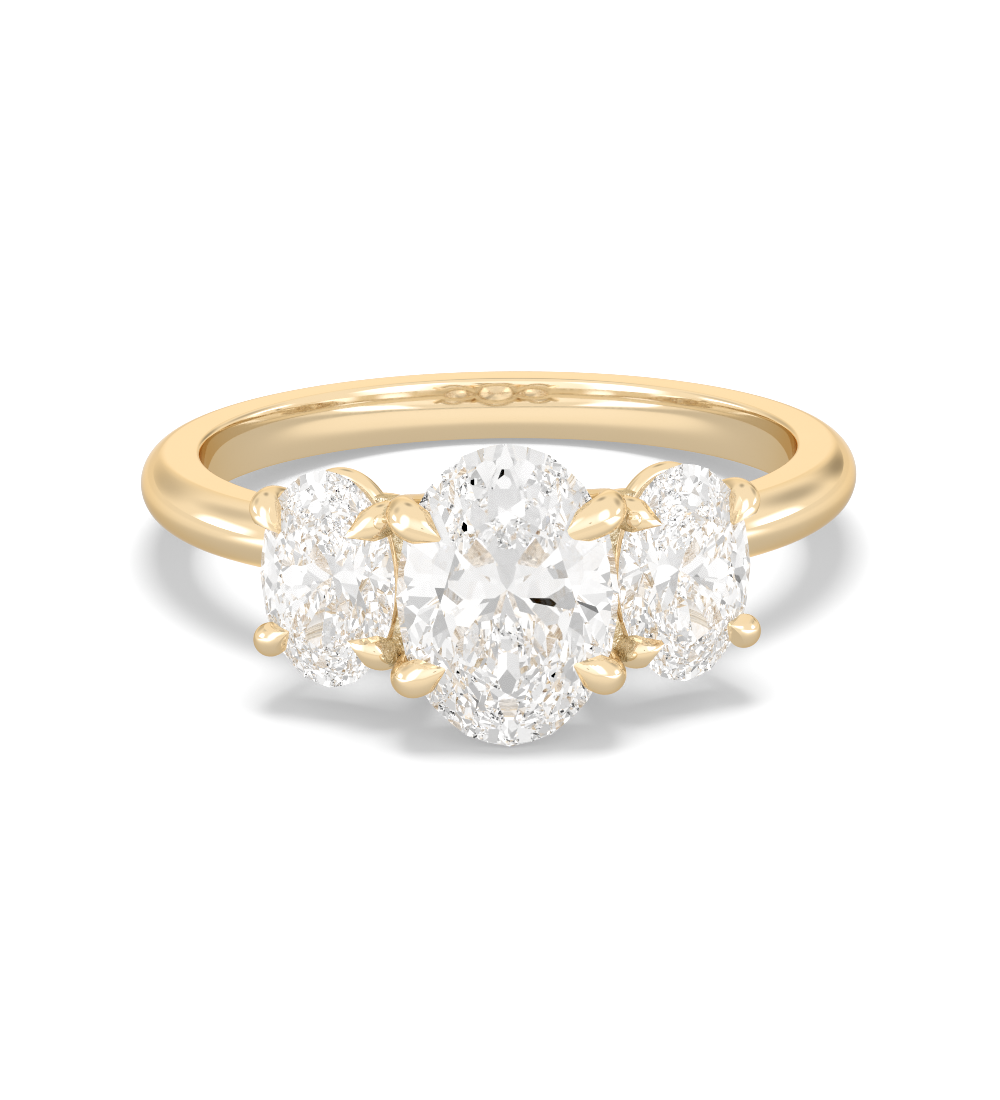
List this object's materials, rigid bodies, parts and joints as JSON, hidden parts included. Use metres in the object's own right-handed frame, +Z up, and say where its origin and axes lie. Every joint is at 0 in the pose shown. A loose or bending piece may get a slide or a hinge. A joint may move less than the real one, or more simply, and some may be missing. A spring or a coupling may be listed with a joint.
{
  "type": "three stone ring",
  "caption": "Gold ring with an oval centre stone between smaller oval stones turned outwards, held by claws on open oval galleries over a plain rounded band.",
  "frame": {"origin": "on the surface that the ring lies on, under the middle of its box", "axes": "+Z up; the stones face -Y and the ring's left side, seen from the front, is at -X; the finger runs along +Z, tipped 8.2 degrees towards +Y"},
  "size_m": [0.02, 0.0248, 0.0083],
  "materials": {
    "gold": "polished pale yellow gold",
    "diamond": "clear faceted stone"
  },
  "bodies": {
    "root": {"band_and_settings": "gold", "centre_stone": "diamond", "left_stone": "diamond", "right_stone": "diamond"}
  },
  "joints": []
}
